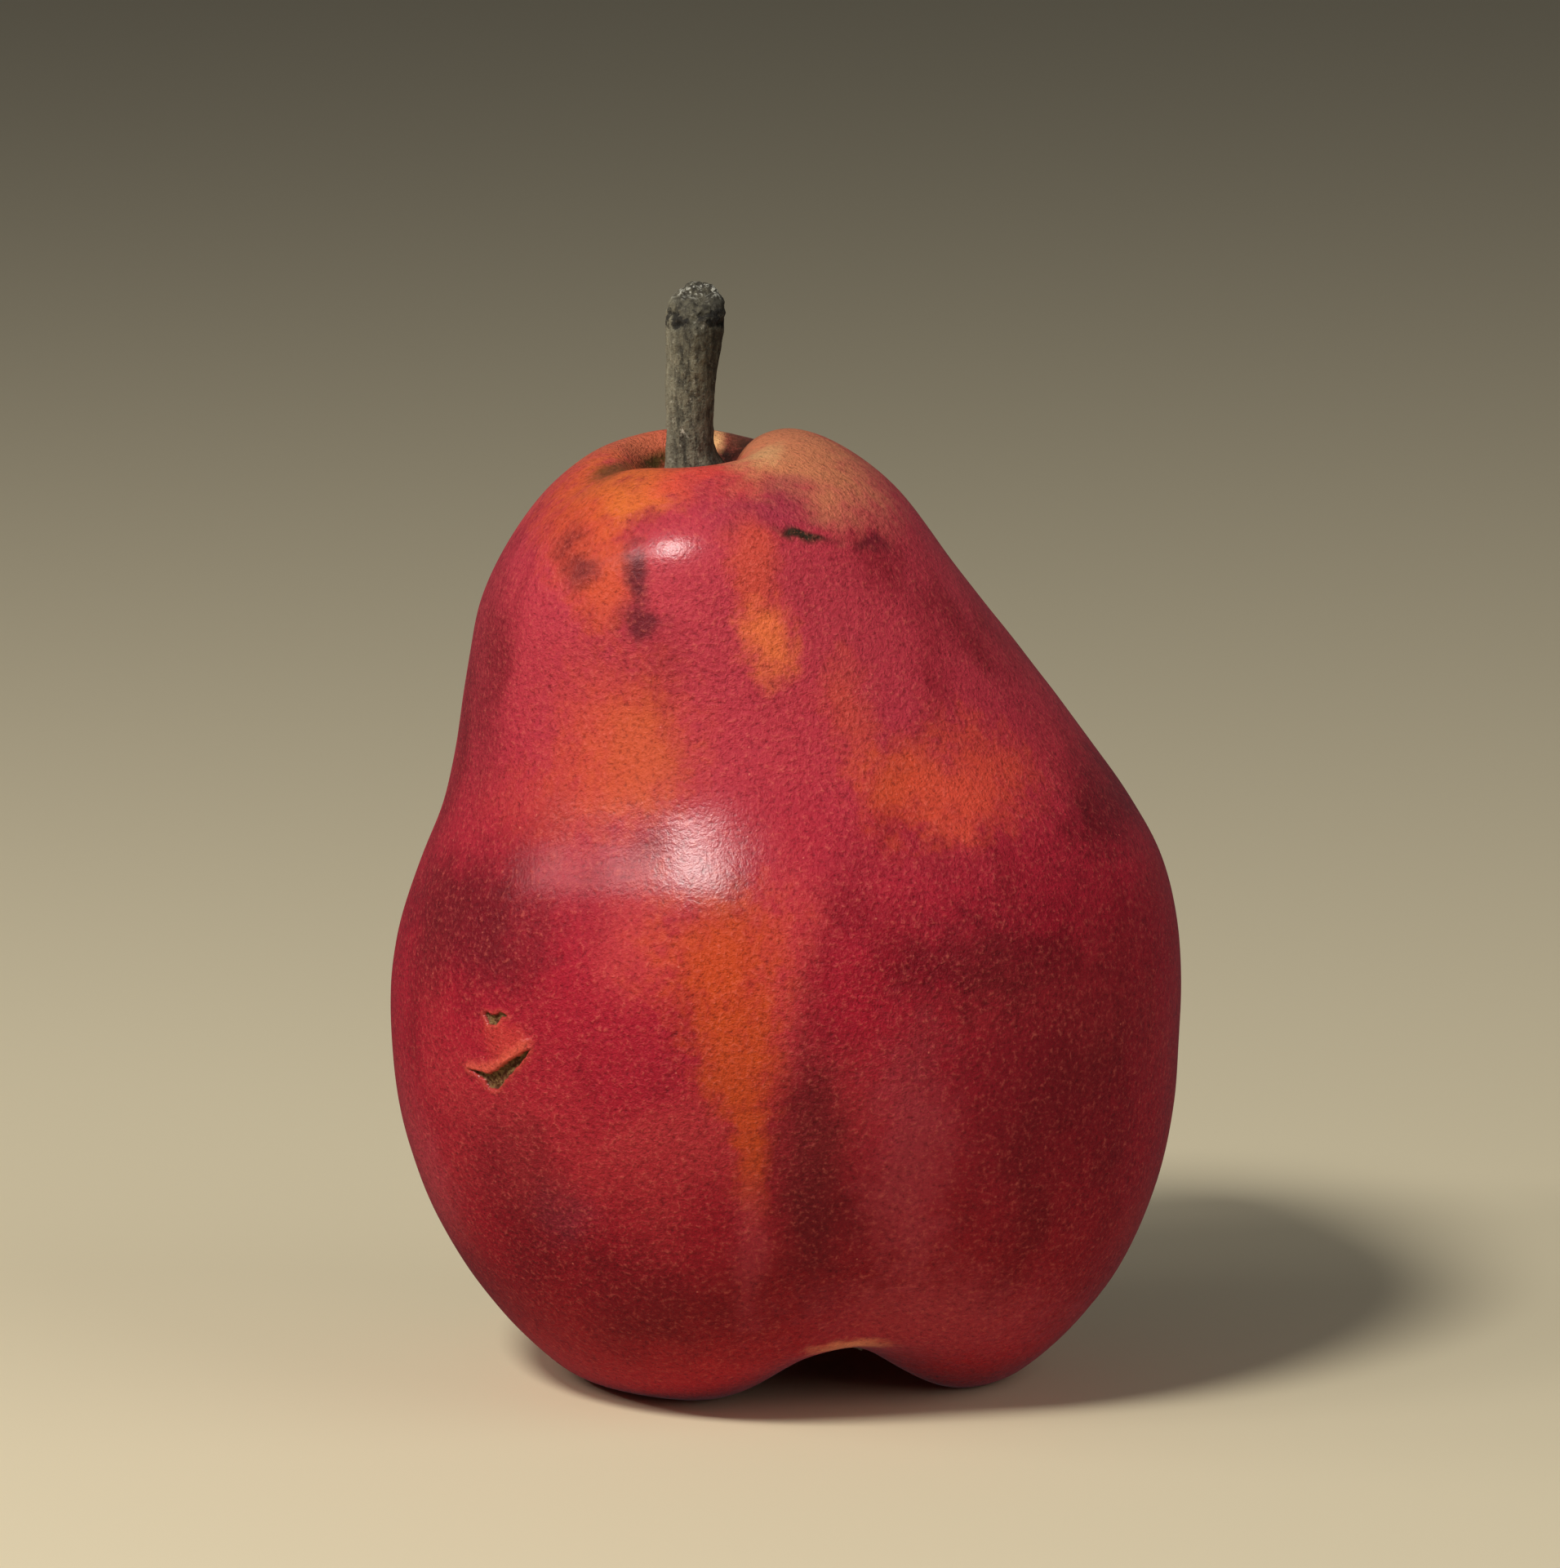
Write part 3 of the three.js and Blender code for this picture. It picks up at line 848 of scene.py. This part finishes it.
def make_stamen(bearing, draw):
    """A withered thread with a small head, inside the cup."""
    length = draw.uniform(2.4, 3.4) * MM
    foot = CALYX_AXIS + Vector((math.cos(bearing), math.sin(bearing), 0)) * STAMEN_CIRCLE
    middle = foot + Vector((0, 0, CUP_LIP + 1.5 * MM - length / 2))
    lean = draw.uniform(-0.3, 0.3)
    bpy.ops.object.select_all(action="DESELECT")
    bpy.ops.mesh.primitive_cone_add(
        vertices=8,
        radius1=0.13 * MM,
        radius2=0.09 * MM,
        depth=length,
        location=middle,
        rotation=(lean, -lean, 0),
    )
    thread = bpy.context.object
    apply_transform(thread)
    low_end = middle - Vector((0, 0, length / 2))
    bpy.ops.object.select_all(action="DESELECT")
    bpy.ops.mesh.primitive_uv_sphere_add(segments=10, ring_count=8, radius=0.24 * MM, location=low_end)
    head = bpy.context.object
    apply_transform(head)
    return [thread, head]


def calyx_relief(place, _normal):
    """Wrinkles of dried tissue."""
    return layered_noise(place, WRINKLES)


def dry_material():
    """Brown dried tissue that is weathered grey at the tips."""
    recipe = Recipe("dry_calyx")
    spots = recipe.noise(0.8 * MM, 4, 0.6, None, 2)
    base = recipe.mix(colour(46, 30, 22), colour(118, 88, 60), recipe.ramp(spots, 0.35, 0.7))
    weathered = recipe.ramp(recipe.axes(recipe.place)["Z"], 5 * MM, 3.2 * MM, 0, 0.8)
    base = recipe.mix(base, colour(205, 198, 182), weathered)
    return recipe.finish(base, 0.85, spots, 0.15 * MM)


def make_calyx():
    draw = random.Random(CALYX_SEED)
    calyx = make_cup()
    parts = [calyx]
    for i, (length, width, curl) in enumerate(SEPALS):
        bearing = (i + 0.25) / len(SEPALS) * 2 * math.pi
        parts.append(make_sepal(length, width, curl, bearing))
    for i in range(STAMENS):
        bearing = (i + draw.uniform(-0.2, 0.2)) / STAMENS * 2 * math.pi
        parts += make_stamen(bearing, draw)
    select_only(calyx)
    for part in parts:
        part.select_set(True)
    bpy.ops.object.join()
    calyx.name = "dried_calyx"
    push_along_normals(calyx, calyx_relief)
    shade_smooth(calyx, 50)
    calyx.data.materials.append(dry_material())
    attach(calyx, "root")
    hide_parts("calyx")


# Stage

FLOOR_SIZE = 6
LIGHT_DISTANCE = 0.9
FILL_DISTANCE = 1.4
WARM = (1, 0.97, 0.92)
WARMER = (1, 0.95, 0.92)
WHITE = (1, 1, 1)
SKY = (0.82, 0.84, 0.88, 1)
SKY_STRENGTH = 0.07


def make_floor():
    bpy.ops.object.select_all(action="DESELECT")
    bpy.ops.mesh.primitive_plane_add(size=FLOOR_SIZE, location=(0, 0, 0))
    floor = bpy.context.object
    floor.name = "floor"
    recipe = Recipe("pale_floor")
    recipe.shader.inputs["Base Color"].default_value = colour(216, 204, 172)
    recipe.shader.inputs["Roughness"].default_value = 0.7
    floor.data.materials.append(recipe.material)
    floor.visible_glossy = False


def direction(azimuth, elevation):
    """The way to a light, from angles in degrees: round to the camera's left, and up."""
    round_left = math.radians(azimuth)
    up = math.radians(elevation)
    level = math.cos(up)
    return Vector((-math.sin(round_left) * level, -math.cos(round_left) * level, math.sin(up)))


def add_light(name, first_end, second_end, distance, width, power, tint):
    """A soft light that looks at the middle of the pear and runs from one direction to the other."""
    middle = (cad_low + cad_high) / 2
    first = middle + direction(*first_end) * distance
    second = middle + direction(*second_end) * distance
    along = (second - first).normalized()
    place = (first + second) / 2
    back = (place - middle).normalized()
    data = bpy.data.lights.new(name, "AREA")
    data.shape = "ELLIPSE"
    data.size = (second - first).length
    data.size_y = width
    data.energy = power
    data.color = tint
    light = bpy.data.objects.new(name, data)
    turned = Matrix((along, back.cross(along), back)).transposed()
    light.matrix_world = Matrix.LocRotScale(place, turned.to_quaternion(), None)
    bpy.context.scene.collection.objects.link(light)
    return light


def make_light():
    """A key light with two thinner ones beside it, whose reflections are the big highlight's streak."""
    add_light("key", (49, 47), (27, 47), LIGHT_DISTANCE, 0.13, 6.8, WARM)
    add_light("near_streak", (70, 34), (47, 43), LIGHT_DISTANCE, 0.045, 1.4, WARMER)
    add_light("far_streak", (98, 24), (70, 33), LIGHT_DISTANCE, 0.03, 0.8, WARMER)
    fill = add_light("fill", (-34, 25), (-86, 25), FILL_DISTANCE, 1.2, 4.6, WHITE)
    fill.visible_glossy = False
    world = bpy.data.worlds.new("studio")
    world.use_nodes = True
    background = world.node_tree.nodes["Background"]
    background.inputs["Color"].default_value = SKY
    background.inputs["Strength"].default_value = SKY_STRENGTH
    bpy.context.scene.world = world
    bpy.context.scene.view_settings.view_transform = "Standard"


make_camera()
make_skin()
make_stem()
make_calyx()
make_floor()
make_light()
